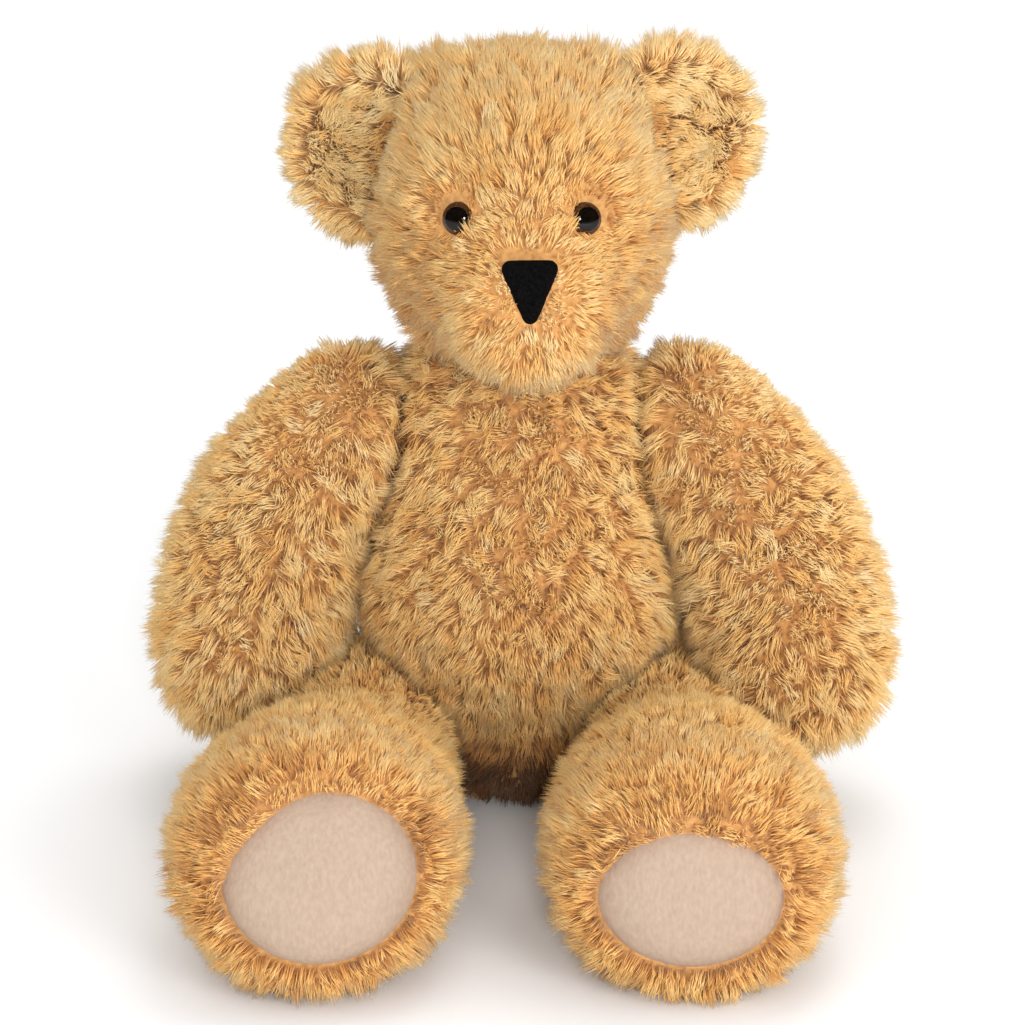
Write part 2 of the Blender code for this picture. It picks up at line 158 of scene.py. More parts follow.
def outer_surface(skin, inside, voxel=VOXEL, rounds=14):
    """The outer side of a CAD skin as one smooth closed mesh: what is inside it fills its hollow and its holes."""
    points, faces = joined([skin, *inside])
    mesh = bpy.data.meshes.new("outer")
    mesh.from_pydata(points.tolist(), [], faces.tolist())
    holder = bpy.data.objects.new("outer", mesh)
    bpy.context.scene.collection.objects.link(holder)
    smooth = applied(
        holder,
        (
            ("REMESH", {"mode": "VOXEL", "voxel_size": voxel}),
            ("SMOOTH", {"factor": 0.5, "iterations": rounds}),
        ),
    )
    bpy.data.objects.remove(holder)
    return smooth


class Surface:
    """A closed mesh as arrays, with a search tree."""

    def __init__(self, mesh):
        self.points, self.faces = arrays_of(mesh)
        flat = np.empty(len(mesh.vertices) * 3, np.float32)
        mesh.vertex_normals.foreach_get("vector", flat)
        self.normals = flat.reshape(-1, 3).astype(float)
        self.tree = BVHTree.FromPolygons(self.points.tolist(), self.faces.tolist())
        corners = self.points[self.faces]
        cross = np.cross(corners[:, 1] - corners[:, 0], corners[:, 2] - corners[:, 0])
        self.areas = np.linalg.norm(cross, axis=1) / 2

    def scatter(self, per_mm2):
        """Random points over the surface with their normals."""
        count = int(self.areas.sum() * 1e6 * per_mm2)
        picked = rng.choice(len(self.areas), count, p=self.areas / self.areas.sum())
        a, b = rng.random(count), rng.random(count)
        over = a + b > 1
        a[over], b[over] = 1 - a[over], 1 - b[over]
        weights = np.stack([1 - a - b, a, b], axis=1)[:, :, None]
        corners = self.faces[picked]
        points = (self.points[corners] * weights).sum(1)
        normals = unit((self.normals[corners] * weights).sum(1))
        return points, normals


def spread_out(points, spacing):
    """Indices of points that keep at least this distance apart."""
    cells = {}
    kept = []
    keys = np.floor(points / spacing).astype(int)
    around = [(x, y, z) for x in (-1, 0, 1) for y in (-1, 0, 1) for z in (-1, 0, 1)]
    for index, (key, point) in enumerate(zip(keys.tolist(), points.tolist())):
        near = False
        for dx, dy, dz in around:
            for other in cells.get((key[0] + dx, key[1] + dy, key[2] + dz), ()):
                gap = (point[0] - other[0]) ** 2 + (point[1] - other[1]) ** 2 + (point[2] - other[2]) ** 2
                if gap < spacing * spacing:
                    near = True
                    break
            if near:
                break
        if not near:
            cells.setdefault(tuple(key), []).append(point)
            kept.append(index)
    return np.array(kept)


# ---------------------------------------------------------------- materials


def new_material(name):
    made = bpy.data.materials.new(name)
    made.use_nodes = True
    tree = made.node_tree
    return made, tree, tree.nodes["Principled BSDF"]


def ramp(tree, stops, factor):
    node = tree.nodes.new("ShaderNodeValToRGB")
    elements = node.color_ramp.elements
    elements[0].position, elements[0].color = stops[0][0], (*stops[0][1], 1)
    elements[1].position, elements[1].color = stops[-1][0], (*stops[-1][1], 1)
    for position, colour in stops[1:-1]:
        elements.new(position).color = (*colour, 1)
    tree.links.new(factor, node.inputs["Fac"])
    return node.outputs["Color"]


def mixed(tree, factor, first, second):
    node = tree.nodes.new("ShaderNodeMix")
    node.data_type = "RGBA"
    tree.links.new(factor, node.inputs["Factor"])
    tree.links.new(first, node.inputs["A"])
    tree.links.new(second, node.inputs["B"])
    return node.outputs["Result"]


def noise_factor(tree, scale, detail=4.0, stretch=(1, 1, 1)):
    coordinates = tree.nodes.new("ShaderNodeTexCoord")
    mapping = tree.nodes.new("ShaderNodeMapping")
    mapping.inputs["Scale"].default_value = stretch
    node = tree.nodes.new("ShaderNodeTexNoise")
    node.inputs["Scale"].default_value = scale
    node.inputs["Detail"].default_value = detail
    tree.links.new(coordinates.outputs["Object"], mapping.inputs["Vector"])
    tree.links.new(mapping.outputs["Vector"], node.inputs["Vector"])
    return node.outputs["Fac"]


def bump(tree, shader, height, distance, strength):
    node = tree.nodes.new("ShaderNodeBump")
    node.inputs["Distance"].default_value = distance
    node.inputs["Strength"].default_value = strength
    tree.links.new(height, node.inputs["Height"])
    tree.links.new(node.outputs["Normal"], shader.inputs["Normal"])


def pile_material():
    """Strands: U is a strand's tone, from reddish brown to cream, and V runs from its root to its tip."""
    made, tree, shader = new_material("honey_plush_pile")
    uv = tree.nodes.new("ShaderNodeUVMap")
    uv.uv_map = "OFBake"
    split = tree.nodes.new("ShaderNodeSeparateXYZ")
    tree.links.new(uv.outputs["UV"], split.inputs["Vector"])
    tone, along = split.outputs["X"], split.outputs["Y"]
    # The darkest stops, below 0.1, are painted shade: only pile with strong painted shade, as between the legs,
    # reaches them
    roots = ramp(
        tree,
        (
            (0.02, (0.10, 0.032, 0.009)),
            (0.08, (0.38, 0.130, 0.029)),
            (0.2, (0.70, 0.28, 0.062)),
            (0.4, (0.90, 0.44, 0.115)),
            (1.0, (0.94, 0.60, 0.230)),
        ),
        tone,
    )
    tips = ramp(
        tree,
        (
            (0.02, (0.17, 0.062, 0.019)),
            (0.08, (0.58, 0.26, 0.075)),
            (0.2, (0.82, 0.44, 0.128)),
            (0.4, (0.93, 0.57, 0.195)),
            (0.65, (0.96, 0.68, 0.295)),
            (1.0, (0.97, 0.80, 0.480)),
        ),
        tone,
    )
    blend = tree.nodes.new("ShaderNodeMapRange")
    blend.interpolation_type = "SMOOTHSTEP"
    blend.inputs["From Min"].default_value = 0.0
    blend.inputs["From Max"].default_value = 0.75
    tree.links.new(along, blend.inputs["Value"])
    tree.links.new(mixed(tree, blend.outputs["Result"], roots, tips), shader.inputs["Base Color"])
    shader.inputs["Roughness"].default_value = 0.62
    shader.inputs["Specular IOR Level"].default_value = 0.25
    shader.inputs["Sheen Weight"].default_value = 0.4
    shader.inputs["Sheen Roughness"].default_value = 0.45
    shader.inputs["Sheen Tint"].default_value = (1.0, 0.85, 0.6, 1)
    return made


def undercoat_material():
    made, tree, shader = new_material("honey_plush_undercoat")
    # The undercoat's dark reddish brown is partly the fabric's own colour and partly painted shade of the deep pile
    # over it
    stops = ((0.3, (0.42, 0.19, 0.055)), (0.7, (0.66, 0.36, 0.125)))
    tree.links.new(ramp(tree, stops, noise_factor(tree, 420)), shader.inputs["Base Color"])
    shader.inputs["Roughness"].default_value = 0.9
    shader.inputs["Sheen Weight"].default_value = 0.1
    return made


def velour_material():
    made, tree, shader = new_material("beige_velour")
    stops = ((0.3, (0.380, 0.275, 0.202)), (0.5, (0.412, 0.302, 0.225)), (0.7, (0.444, 0.329, 0.248)))
    grain = noise_factor(tree, 700, 9.0, (1, 1, 0.5))
    tree.links.new(ramp(tree, stops, grain), shader.inputs["Base Color"])
    shader.inputs["Roughness"].default_value = 0.85
    shader.inputs["Sheen Weight"].default_value = 0.2
    shader.inputs["Sheen Roughness"].default_value = 0.4
    shader.inputs["Sheen Tint"].default_value = (1.0, 0.93, 0.86, 1)
    bump(tree, shader, noise_factor(tree, 900, 5.0, (1, 1, 0.4)), 0.35 * MM, 0.8)
    return made


def flock_material():
    made, tree, shader = new_material("black_nose_flock")
    stops = ((0.35, (0.0015, 0.0013, 0.0013)), (0.7, (0.005, 0.0045, 0.0045)))
    tree.links.new(ramp(tree, stops, noise_factor(tree, 900)), shader.inputs["Base Color"])
    shader.inputs["Roughness"].default_value = 0.95
    shader.inputs["Specular IOR Level"].default_value = 0.05
    shader.inputs["Sheen Weight"].default_value = 0.01
    bump(tree, shader, noise_factor(tree, 2600, 2.0), 0.2 * MM, 0.5)
    return made


def eye_material(name, dark, light):
    made, tree, shader = new_material(name)
    stops = ((0.35, dark), (0.65, light))
    tree.links.new(ramp(tree, stops, noise_factor(tree, 900)), shader.inputs["Base Color"])
    shader.inputs["Roughness"].default_value = 0.06
    shader.inputs["Specular IOR Level"].default_value = 0.3
    return made


def moulded_material(name, colour, roughness, metallic=0.0):
    made, tree, shader = new_material(name)
    darker = tuple(value * 0.88 for value in colour)
    tree.links.new(ramp(tree, ((0.35, darker), (0.65, colour)), noise_factor(tree, 60)), shader.inputs["Base Color"])
    shader.inputs["Roughness"].default_value = roughness
    shader.inputs["Metallic"].default_value = metallic
    bump(tree, shader, noise_factor(tree, 1800, 2.0), 0.05 * MM, 0.3)
    return made


PILE = pile_material()
UNDERCOAT = undercoat_material()
VELOUR = velour_material()
FLOCK = flock_material()
PUPIL = eye_material("black_eye_plastic", (0.002, 0.0015, 0.001), (0.006, 0.004, 0.003))
IRIS = eye_material("brown_iris", (0.030, 0.012, 0.005), (0.085, 0.036, 0.014))
PLASTIC = moulded_material("joint_plastic", (0.82, 0.82, 0.80), 0.45)
STEEL = moulded_material("lock_washer_steel", (0.55, 0.56, 0.57), 0.3, 1.0)


# ---------------------------------------------------------------- stuffed pieces


def stuffed_pieces():
    """Of each stuffed piece: its body, its CAD skin, and the nodes that fill the skin."""
    found = {
        "body": ("torso", "body_skin", ["body_stuffing", "neck_body_disc"]),
        "head": ("head", "head_skin", ["head_stuffing", "neck_post_disc"]),
    }
    for side in SIDES:
        for limb, joint, more in (("arm", "shoulder", []), ("leg", "hip", [f"foot_pad_{side}"])):
            name = f"{limb}_{side}"
            inside = [f"{name}_stuffing", f"{joint}_{side}_post_disc", *more]
            found[name] = (name, f"{name}_skin", inside)
        for joint in ("shoulder", "hip"):
            found["body"][2].append(f"{joint}_{side}_body_disc")
    return found


STUFFED = stuffed_pieces()
SURFACES = {name: Surface(outer_surface(skin, inside)) for name, (_, skin, inside) in STUFFED.items()}
NOSE = np.array(sum(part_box("nose"), Vector())) / 2
EYES = {side: np.array(sum(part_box(f"eye_{side}"), Vector())) / 2 for side in SIDES}


def room_around(name, points):
    """How far each point is from the nearest other body's surface, in metres, up to 25 mm, and the way from it."""
    body = STUFFED[name][0]
    room = np.full(len(points), MOST_ROOM)
    escape = np.zeros((len(points), 3))
    for other, (other_body, _, _) in STUFFED.items():
        if other_body == body:
            continue
        tree = SURFACES[other].tree
        low, high = SURFACES[other].points.min(0) - MOST_ROOM, SURFACES[other].points.max(0) + MOST_ROOM
        near = np.nonzero(((points > low) & (points < high)).all(1))[0]
        for index in near:
            place, _, _, gap = tree.find_nearest(Vector(points[index]), MOST_ROOM)
            if place is not None and gap < room[index]:
                room[index] = gap
                escape[index] = points[index] - np.array(place)
    return room, unit(escape)


def comb(name, points, normals):
    """Which way the pile leans, how steeply (as a tangent), and how long it is, in metres."""
    count = len(points)
    if name == "head":
        away = unit(tangential(points - NOSE, normals))
        reach = np.linalg.norm(points - NOSE, axis=1)
        lean = 0.55 + 0.35 * smoothstep(12 * MM, 32 * MM, reach)
        length = (4.4 + 1.8 * smoothstep(9 * MM, 16 * MM, reach) + 3.2 * smoothstep(15 * MM, 55 * MM, reach)) * MM
        for eye in EYES.values():
            gap = np.linalg.norm(points - eye, axis=1)
            length *= 0.38 + 0.62 * smoothstep(6 * MM, 15 * MM, gap)
            push = 1.6 * smoothstep(15 * MM, 7 * MM, gap)
            away = unit(away + tangential(points - eye, normals) * (push / gap)[:, None])
        for side in SIDES:
            gap = np.linalg.norm(points - ear_crease(side), axis=1)
            length *= 0.6 + 0.4 * smoothstep(13 * MM, 22 * MM, gap)
        return away, lean, length * (1 + 0.3 * crown_fullness(points))
    down = unit(tangential(np.tile([0.0, 0.0, -1.0], (count, 1)), normals))
    if name == "body":
        return down, np.full(count, 0.35), np.full(count, 9.6 * MM)
    if name.startswith("arm"):
        top = smoothstep(150 * MM, 172 * MM, points[:, 2])
        outer = smoothstep(62 * MM, 82 * MM, np.abs(points[:, 0])) * smoothstep(120 * MM, 148 * MM, points[:, 2])
        return down, 0.28 + 0.5 * top, (10.6 - 2.4 * top - 3.6 * outer) * MM
    side = name[4:]
    pad_low, pad_high = (np.array(corner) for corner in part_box(f"foot_pad_{side}"))
    from_pad = unit(tangential(points - (pad_low + pad_high) / 2, normals))
    forward = unit(tangential(np.tile([0.0, -1.0, 0.0], (count, 1)), normals))
    sole = smoothstep(pad_high[1] + 55 * MM, pad_high[1] + 25 * MM, points[:, 1])[:, None]
    edge = smoothstep(1.0, 1.35, pad_window(side, points))
    length = 9.6 - 2.6 * smoothstep(0.35, 0.9, normals[:, 2]) - 2.6 * (1 - edge)
    return unit(from_pad * sole + forward * (1 - sole)), -0.05 + 0.5 * edge, length * MM


def crown_fullness(points):
    """1 where the top of the head swells beside an ear, 0 elsewhere."""
    across = smoothstep(13 * MM, 27 * MM, np.abs(points[:, 0]))
    behind_brow = smoothstep(-26 * MM, -6 * MM, points[:, 1])
    return across * behind_brow * smoothstep(252 * MM, 268 * MM, points[:, 2])


def ear_crease(side):
    """The middle of the fold where an ear's front meets the head."""
    low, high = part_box(f"ear_front_{side}")
    inner = low.x if SIDES[side] > 0 else high.x
    return np.array([inner + SIDES[side] * 9 * MM, low.y + 4 * MM, low.z + (high.z - low.z) * 0.47])


def face_painted_shade(points):
    """Painted shade on the face: how much darker the pile is round the eyes and on the cheeks, as if shaded by the
    sockets and the muzzle, and how much lighter on the muzzle.
    """
    across = np.abs(points[:, 0])
    reach = np.linalg.norm(points - NOSE, axis=1)
    shade = 0.24 * smoothstep(18 * MM, 27 * MM, across) * smoothstep(242 * MM, 230 * MM, points[:, 2])
    shade -= 0.12 * smoothstep(28 * MM, 16 * MM, reach)
    for eye in EYES.values():
        gap = np.linalg.norm(points - eye, axis=1)
        shade = np.maximum(shade, 0.30 * smoothstep(12 * MM, 7 * MM, gap))
    return shade


def undercoat(name):
    """The surface under the pile, raised where there is room and roughened like matted wool."""
    body, skin, inside = STUFFED[name]
    surface = SURFACES[name]
    room, _ = room_around(name, surface.points)
    raise_by = UNDERCOAT_RAISE * smoothstep(2.5 * MM, 9 * MM, room)
    raise_by *= smoothstep(0.0, 5 * MM, surface.points[:, 2])
    if name.startswith("leg"):
        raise_by *= smoothstep(0.95, 1.25, pad_window(name[4:], surface.points))
    rough = rng.normal(0, UNDERCOAT_BUMP, len(surface.points)) * (raise_by / UNDERCOAT_RAISE)
    if name == "head":
        raise_by += CROWN_RAISE * crown_fullness(surface.points)
    raised = surface.points + surface.normals * (raise_by + rough)[:, None]
    raised[:, 2] = np.maximum(raised[:, 2], 0.05 * MM)
    mesh = bpy.data.meshes.new(f"{name}_undercoat")
    mesh.from_pydata(raised.tolist(), [], surface.faces.tolist())
    mesh.shade_smooth()
    obj = new_object(f"{name}_undercoat", mesh, UNDERCOAT)
    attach(obj, body)
    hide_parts(skin, skin.replace("_skin", "_stuffing"))
    return obj


# ---------------------------------------------------------------- the pile


def nearest_of(points, targets):
    """For each point, the index of the nearest target."""
    tree = KDTree(len(targets))
    for index, target in enumerate(targets):
        tree.insert(target, index)
    tree.balance()
    return np.array([tree.find(point)[1] for point in points])


def wisp_offsets(points):
    """From each root, the way from the middle of its wisp."""
    cells = np.floor(points / WISP_SPACING).astype(np.int64)
    _, wisp = np.unique(cells @ np.array([1_000_003, 10_007, 1]), return_inverse=True)
    sizes = np.bincount(wisp)
    middles = np.stack([np.bincount(wisp, points[:, axis]) / sizes for axis in range(3)], axis=1)
    return points - middles[wisp]


def grow(points, normals, away, lean, length, room, painted_light_and_shade, wander_most, locking=LOCKING):
    """Centre lines of the strands as (roots, middles, tips), with a tone for each."""
    order = rng.permutation(len(points))
    centres = order[spread_out(points[order], LOCK_SPACING)]
    lock = nearest_of(points, points[centres])
    count = len(centres)
    lock_normal = normals[centres]
    wander = unit(tangential(rng.normal(0, 1, (count, 3)), lock_normal))
    lean_by = away[centres] * lean[centres, None] + wander * rng.uniform(0.15, wander_most, (count, 1))
    direction = unit(lock_normal + lean_by)
    hook = unit(tangential(rng.normal(0, 1, (count, 3)), direction) + away[centres])
    lock_length = length[centres] * rng.uniform(0.85, 1.15, count)
    lock_tone = rng.normal(0.5, 0.105, count)

    strays = rng.random(len(points)) < FLYAWAY_SHARE
    loose = np.where(strays, 0.25, 1.0)
    offset = points - points[centres][lock]
    wisp = wisp_offsets(points)
    spread = np.linalg.norm(offset, axis=1) / LOCK_SPACING
    strand_length = lock_length[lock] * (1.08 - 0.22 * np.clip(spread, 0, 1) ** 2)
    strand_length *= rng.uniform(0.78, 1.12, len(points))
    scatter = rng.normal(0, 0.17, (len(points), 3)) * np.where(strays, 2.2, 1.0)[:, None]
    own = unit(normals + direction[lock] * 1.2 * loose[:, None] + scatter)
    heading = unit(direction[lock] * 1.4 * loose[:, None] + own)
    # Where another piece is near, the pile lies down in the room there is
    rise = (heading * normals).sum(1)
    most = np.clip(0.62 * room, 1.0 * MM, None)
    wanted = np.minimum(strand_length * rise, most)
    flat = tangential(heading, normals)
    flat_size = np.sqrt(np.maximum(strand_length**2 - wanted**2, 0.0))
    reach = normals * wanted[:, None] + unit(flat) * np.minimum(
        flat_size, strand_length * np.linalg.norm(flat, axis=1) * 1.6
    )[:, None]

    def place(t):
        gather = offset * (locking * t**0.9 * loose)[:, None] + wisp * (WISPING * t * loose)[:, None]
        curl = hook[lock] * (CURL * strand_length * (t**2 - 0.35 * t))[:, None]
        return points + reach * t - gather + curl

    middles, tips = place(0.55), place(1.0)
    middles += rng.normal(0, 0.15 * MM, middles.shape)
    tips += rng.normal(0, 0.45 * MM, tips.shape)
    # Only pile with strong painted shade goes below the ramp's reddish brown
    least_tone = np.clip(0.1 + 0.3 * (painted_light_and_shade + 0.45), 0.01, 0.1)
    strand_tone = lock_tone[lock] + painted_light_and_shade + rng.normal(0, 0.09, len(points))
    strand_tone = np.clip(strand_tone, least_tone, 0.99)
    return points, middles, tips, strand_tone


def strand_mesh(name, roots, middles, tips, tone, radius):
    """Closed tapering three-sided strands as one mesh."""
    count = len(roots)
    twist = unit(rng.normal(0, 1, (count, 3)))
    lower = unit(middles - roots)
    upper = unit(tips - middles)
    verts = np.empty((count, 7, 3))
    for ring, (centre, along, size) in enumerate(((roots, lower, 1.0), (middles, unit(lower + upper), 0.85))):
        side = unit(np.cross(along, twist))
        other = np.cross(along, side)
        for corner in range(3):
            angle = math.tau * corner / 3
            spoke = side * math.cos(angle) + other * math.sin(angle)
            verts[:, ring * 3 + corner] = centre + spoke * radius[:, None] * size
    verts[:, 6] = tips
    verts[:, :, 2] = np.maximum(verts[:, :, 2], FLOOR_CLEARANCE)
    quads = [(0, 1, 4, 3), (1, 2, 5, 4), (2, 0, 3, 5)]
    triangles = [(3, 4, 6), (4, 5, 6), (5, 3, 6), (2, 1, 0)]
    pattern = np.array([corner for face in quads + triangles for corner in face])
    loops = (pattern[None, :] + 7 * np.arange(count)[:, None]).ravel()
    sizes = np.tile([4, 4, 4, 3, 3, 3, 3], count)
    starts = np.concatenate([[0], np.cumsum(sizes)[:-1]])
    mesh = bpy.data.meshes.new(name)
    mesh.vertices.add(count * 7)
    mesh.vertices.foreach_set("co", verts.astype(np.float32).ravel())
    mesh.loops.add(len(loops))
    mesh.loops.foreach_set("vertex_index", loops.astype(np.int32))
    mesh.polygons.add(len(sizes))
    mesh.polygons.foreach_set("loop_start", starts.astype(np.int32))
    mesh.update(calc_edges=True)
    mesh.shade_smooth()
    across = np.array([0.0, 0.004, 0.008, 0.0, 0.004, 0.008, 0.004])
    along = np.array([0.02, 0.02, 0.02, 0.5, 0.5, 0.5, 0.98])
    vertex_uv = np.empty((count, 7, 2))
    vertex_uv[:, :, 0] = tone[:, None] * 0.99 + across
    vertex_uv[:, :, 1] = along
    layer = mesh.uv_layers.new(name="OFBake")
    layer.data.foreach_set("uv", vertex_uv.reshape(-1, 2)[loops].astype(np.float32).ravel())
    return mesh


def furnish(name, body, roots, middles, tips, tone):
    """Pile pieces that ride on a body, none larger than the export keeps whole."""
    radius = STRAND_RADIUS * rng.uniform(0.75, 1.25, len(roots))
    parts = math.ceil(len(roots) / MOST_STRANDS)
    for number, chosen in enumerate(np.array_split(np.argsort(roots[:, 2], kind="stable"), parts)):
        piece = f"{name}_pile_{number + 1}"
        data = (roots[chosen], middles[chosen], tips[chosen], tone[chosen], radius[chosen])
        obj = new_object(piece, strand_mesh(piece, *data), PILE)
        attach(obj, body)


def pad_radius(side, angle):
    """A foot pad's radius as a share of its oval: it is flattened at its upper left."""
    return 1 - PAD_FLAT[side] * np.exp(-(((angle - PAD_FLAT_ANGLE) / PAD_FLAT_WIDTH) ** 2))


def pad_window(side, points):
    """Where a point lies in a foot pad's outline: under 1 is inside it."""
    low, high = (np.array(corner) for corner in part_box(f"foot_pad_{side}"))
    middle, half = (low + high) / 2, (high - low) / 2
    across, up = (points[:, 0] - middle[0]) / half[0], (points[:, 2] - middle[2]) / half[2]
    oval = (across**2 + up**2) / pad_radius(side, np.arctan2(up, across)) ** 2
    oval[points[:, 1] > high[1] + 8 * MM] = 9
    return oval


def bare(name, points, normals, room):
    """Roots that carry no pile: joints, seat, pads, eyes and nose."""
    none = room < LEAST_ROOM
    none |= (points[:, 2] < 1.2 * MM) & (normals[:, 2] < -0.5)
    if name == "head":
        for eye in EYES.values():
            none |= np.linalg.norm(points - eye, axis=1) < 5.9 * MM
        shifted = points - NOSE
        half_width = 9.6 * MM * np.clip(0.64 + shifted[:, 2] / (24 * MM), 0.3, 1.0)
        none |= (np.abs(shifted[:, 0]) < half_width) & (np.abs(shifted[:, 2]) < 10.8 * MM) & (points[:, 1] < -60 * MM)
    if name.startswith("leg"):
        none |= pad_window(name[4:], points) < 0.94
    return none


def plush(name):
    """The pile of one stuffed piece."""
    points, normals = SURFACES[name].scatter(STRANDS_PER_MM2[name.split("_")[0]])
    room, escape = room_around(name, points)
    keep = ~bare(name, points, normals, room)
    points, normals, room, escape = points[keep], normals[keep], room[keep], escape[keep]
    away, lean, length = comb(name, points, normals)
    crowded = smoothstep(13 * MM, 4 * MM, room)[:, None]
    away = unit(away * (1 - crowded) + unit(tangential(escape, normals)) * crowded)
    length = length * (1 + 0.3 * smoothstep(24 * MM, 14 * MM, room))
    lift = UNDERCOAT_RAISE * 0.6 * smoothstep(2.5 * MM, 9 * MM, room) * smoothstep(0.0, 5 * MM, points[:, 2])
    if name == "head":
        lift += CROWN_RAISE * crown_fullness(points)
    # Painted shade: the pile is darker in creases where another piece is near
    painted_shading = CREASE_PAINTED_SHADE * smoothstep(15 * MM, 5 * MM, room)
    # Painted shade round the eyes and on the cheeks, and a lighter muzzle
    if name == "head":
        painted_shading -= face_painted_shade(points)
    # Painted shadow: the pile low on the body between the legs is much darker
    if name == "body":
        shadow_between_legs = smoothstep(50 * MM, 12 * MM, points[:, 2]) * smoothstep(0.0, -30 * MM, points[:, 1])
        painted_shading -= 0.92 * shadow_between_legs
    # Painted light: the arms' pile is a little lighter than the rest of the same plush
    if name.startswith("arm"):
        painted_shading += 0.08
    # Painted shade: the legs' pile is darker, most round the pads, against the strong light that falls on them
    if name.startswith("leg"):
        painted_shading -= 0.08 + 0.12 * smoothstep(2.6, 1.4, pad_window(name[4:], points))
    wander = WANDER if name == "body" or name.startswith("arm") else CALM_WANDER
    strands = grow(points + normals * lift[:, None], normals, away, lean, length, room - lift, painted_shading, wander)
    furnish(name, STUFFED[name][0], *strands)


def ear(side):
    """An ear: its two layers as one soft dish, with pile that sweeps out from a crease beside the head, where the
    pile has painted shade.
    """
    layers = (f"ear_front_{side}", f"ear_back_{side}")
    mesh = outer_surface(layers[0], layers[1:], 1.7 * MM, 6)
    mesh.name = f"ear_{side}_undercoat"
    mesh.materials.clear()
    mesh.shade_smooth()
    surface = Surface(mesh)
    obj = new_object(mesh.name, mesh, UNDERCOAT)
    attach(obj, "head")
    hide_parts(*layers)
    points, normals = surface.scatter(STRANDS_PER_MM2["ear"])
    head = SURFACES["head"].tree
    clear = np.array([head.find_nearest(Vector(point), 1.2 * MM)[0] is None for point in points])
    points, normals = points[clear], normals[clear]
    from_crease = points - ear_crease(side)
    sweep = unit(tangential(from_crease, normals))
    out = np.hypot(from_crease[:, 0] / (7 * MM), from_crease[:, 2] / (13 * MM))
    front = smoothstep(0.0, 0.4, -normals[:, 1])
    length = (9.4 - 5.0 * front * smoothstep(1.9, 0.6, out)) * MM
    # Painted light and shade: the ear's pile is lighter all over against its shaded hollow, and darker on its front
    # near the crease
    painted_shading = 0.16 - 0.46 * front * smoothstep(1.7, 0.8, out)
    room = np.full(len(points), MOST_ROOM)
    lean = np.full(len(points), 0.45)
    strands = grow(points, normals, sweep, lean, length, room, painted_shading, 0.4, 0.08)
    furnish(f"ear_{side}", "head", *strands)


# ---------------------------------------------------------------- face and feet


def eye(side):
    """A glossy domed button with a thin brown iris round a black pupil."""
    node = f"eye_{side}"
    points, faces = arrays_of(nodes[node].data)
    centre, axis = eye_axis(points)
    radius = 6 * MM
    dome = 3.4 * MM
    shape = bmesh.new()
    rings = []
    for step in range(15):
        angle = math.pi / 2 * step / 14
        rings.append((radius * math.sin(angle), dome * math.cos(angle)))
    rings += [(radius * 0.985, -0.5 * MM), (radius * 0.9, -0.9 * MM)]
    turn = Vector((0, 0, 1)).rotation_difference(Vector(axis)).to_matrix()
    made = []
    for size, height in rings:
        ring = []
        for step in range(48):
            angle = math.tau * step / 48
            local = Vector((size * math.cos(angle), size * math.sin(angle), height))
            ring.append(shape.verts.new(Vector(centre) + turn @ local))
        made.append(ring)
    for number, (inner, outer) in enumerate(zip(made, made[1:])):
        for step in range(48):
            after = (step + 1) % 48
            face = shape.faces.new((inner[step], outer[step], outer[after], inner[after]))
            face.smooth = True
            face.material_index = 1 if 0.70 < rings[number][0] / radius < 0.93 and rings[number][1] > 0 else 0
    shape.faces.new(made[-1])
    bmesh.ops.remove_doubles(shape, verts=shape.verts, dist=1e-6)
    bmesh.ops.recalc_face_normals(shape, faces=shape.faces)
    mesh = bpy.data.meshes.new(f"{node}_button")
    shape.to_mesh(mesh)
    shape.free()
    obj = new_object(f"{node}_button", mesh, PUPIL)
    mesh.materials.append(IRIS)
    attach(obj, "head")
    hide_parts(node)


def eye_axis(points):
    """The middle of an eye's dome rim and the way it faces, from its CAD points."""
    middle = points.mean(0)
    _, _, axes = np.linalg.svd(points - middle)
    best = axes[0]
    if best[1] > 0:
        best = -best
    along = (points - middle) @ best
    across = np.linalg.norm((points - middle) - np.outer(along, best), axis=1)
    rim = points[across > 5.8 * MM]
    return rim.mean(0), best


def nose():
    """The nose, rounded off and covered in fine flock."""
    holder = nodes["nose"].copy()
    holder.data = nodes["nose"].data.copy()
    holder.parent = None
    bpy.context.scene.collection.objects.link(holder)
    mesh = applied(
        holder,
        (
            ("REMESH", {"mode": "VOXEL", "voxel_size": 0.55 * MM}),
            ("SMOOTH", {"factor": 0.5, "iterations": 4}),
        ),
    )
    bpy.data.objects.remove(holder)
    mesh.name = "nose_flocked"
    mesh.materials.clear()
    mesh.shade_smooth()
    obj = new_object("nose_flocked", mesh, FLOCK)
    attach(obj, "head")
    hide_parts("nose")


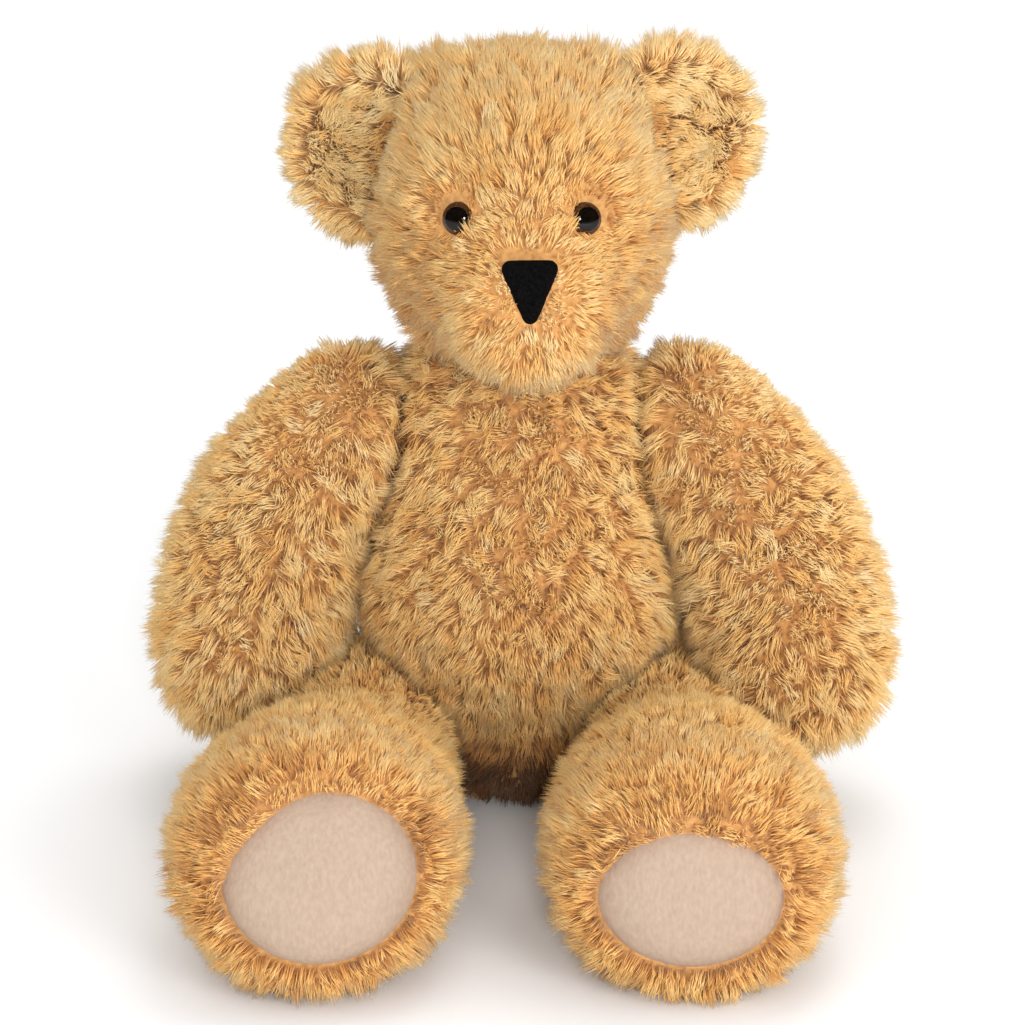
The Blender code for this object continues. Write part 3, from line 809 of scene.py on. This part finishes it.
def foot_pad(side):
    """A crowned velour oval that fills its window and tucks in round its edge."""
    name = f"foot_pad_{side}"
    low, high = (np.array(corner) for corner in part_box(name))
    middle, half = (low + high) / 2, (high - low) / 2
    tree = SURFACES[f"leg_{side}"].tree
    rings, spokes = 26, 96
    shape = bmesh.new()
    front, back = [], []
    for ring in range(rings + 1):
        share = ring / rings
        front_ring, back_ring = [], []
        for spoke in range(spokes if ring else 1):
            angle = math.tau * spoke / spokes
            turned = math.remainder(angle, math.tau)
            reach = 1.02 * share * pad_radius(side, turned)
            x = middle[0] + half[0] * reach * math.cos(angle)
            z = middle[2] + half[2] * reach * math.sin(angle)
            hit = tree.ray_cast(Vector((x, -1, z)), Vector((0, 1, 0)))
            surface = hit[0].y if hit[0] is not None else middle[1]
            crown = (2.0 - 2.2 * share**6) * MM
            front_ring.append(shape.verts.new((x, surface - crown, z)))
            back_ring.append(shape.verts.new((x, surface + 1.6 * MM, z)))
        front.append(front_ring)
        back.append(back_ring)
    for ring in range(rings):
        for spoke in range(spokes):
            after = (spoke + 1) % spokes
            for layer, flip in ((front, False), (back, True)):
                if ring == 0:
                    corners = [layer[0][0], layer[1][spoke], layer[1][after]]
                else:
                    corners = [layer[ring][spoke], layer[ring + 1][spoke], layer[ring + 1][after], layer[ring][after]]
                shape.faces.new(corners[::-1] if flip else corners).smooth = True
    for spoke in range(spokes):
        after = (spoke + 1) % spokes
        shape.faces.new((front[-1][spoke], back[-1][spoke], back[-1][after], front[-1][after])).smooth = True
    bmesh.ops.recalc_face_normals(shape, faces=shape.faces)
    mesh = bpy.data.meshes.new(f"{name}_velour")
    shape.to_mesh(mesh)
    shape.free()
    obj = new_object(f"{name}_velour", mesh, VELOUR)
    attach(obj, f"leg_{side}")
    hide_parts(name)


def hardware():
    """The hidden discs and washers keep their CAD shapes."""
    for name, node in nodes.items():
        if name.endswith("_disc"):
            look = PLASTIC
        elif name.endswith("lock_washer"):
            look = STEEL
        elif name.endswith("_washer"):
            look = PLASTIC
        else:
            continue
        node.data.materials.clear()
        node.data.materials.append(look)


# ---------------------------------------------------------------- studio


def area_light(name, place, target, size, power, reflected=False):
    """A round soft light. Only the one that is reflected makes the bright spot in the eyes."""
    data = bpy.data.lights.new(name, "AREA")
    data.shape = "DISK"
    data.size = size
    data.energy = power
    lamp = bpy.data.objects.new(name, data)
    bpy.context.scene.collection.objects.link(lamp)
    lamp.location = place
    lamp.visible_camera = False
    lamp.visible_glossy = reflected
    lamp.rotation_euler = (Vector(target) - Vector(place)).to_track_quat("-Z", "Y").to_euler()


def studio():
    made, tree, shader = new_material("studio_floor")
    shader.inputs["Base Color"].default_value = (0.92, 0.925, 0.93, 1)
    shader.inputs["Roughness"].default_value = 0.9
    mesh = bpy.data.meshes.new("studio_floor")
    mesh.from_pydata([(-9, -9, 0), (9, -9, 0), (9, 9, 0), (-9, 9, 0)], [], [(0, 1, 2, 3)])
    new_object("studio_floor", mesh, made)
    world = bpy.data.worlds.new("studio")
    world.use_nodes = True
    background = world.node_tree.nodes["Background"]
    background.inputs["Color"].default_value = (1, 1, 1, 1)
    background.inputs["Strength"].default_value = 0.82
    world.cycles_visibility.glossy = False
    bpy.context.scene.world = world
    area_light("key", (1.1, -1.7, 0.7), (0, 0, 0.12), 1.0, 19)
    area_light("front", (0.1, -1.9, 0.75), (0, 0, 0.12), 0.3, 12, True)
    area_light("fill", (-1.1, -1.7, 0.4), (0, 0, 0.12), 1.6, 5)
    area_light("top", (0.3, 0.3, 1.6), (0, 0, 0.15), 0.9, 4)
    area_light("backdrop", (0, 1.5, 1.5), (0, 1.5, 0), 2.6, 9)
    bpy.context.scene.view_settings.view_transform = "Standard"


def camera():
    data = bpy.data.cameras.new("camera")
    data.lens = CAMERA_LENS
    data.sensor_width = 36
    data.clip_end = 50
    obj = bpy.data.objects.new("camera", data)
    bpy.context.scene.collection.objects.link(obj)
    back = Vector((0, -math.cos(CAMERA_ELEVATION), math.sin(CAMERA_ELEVATION)))
    obj.location = CAMERA_TARGET + back * CAMERA_DISTANCE
    obj.rotation_euler = (-back).to_track_quat("-Z", "Y").to_euler()
    bpy.context.scene.camera = obj


camera()
studio()
hardware()
for stuffed in STUFFED:
    undercoat(stuffed)
for stuffed in STUFFED:
    plush(stuffed)
for side in SIDES:
    ear(side)
    eye(side)
    foot_pad(side)
nose()
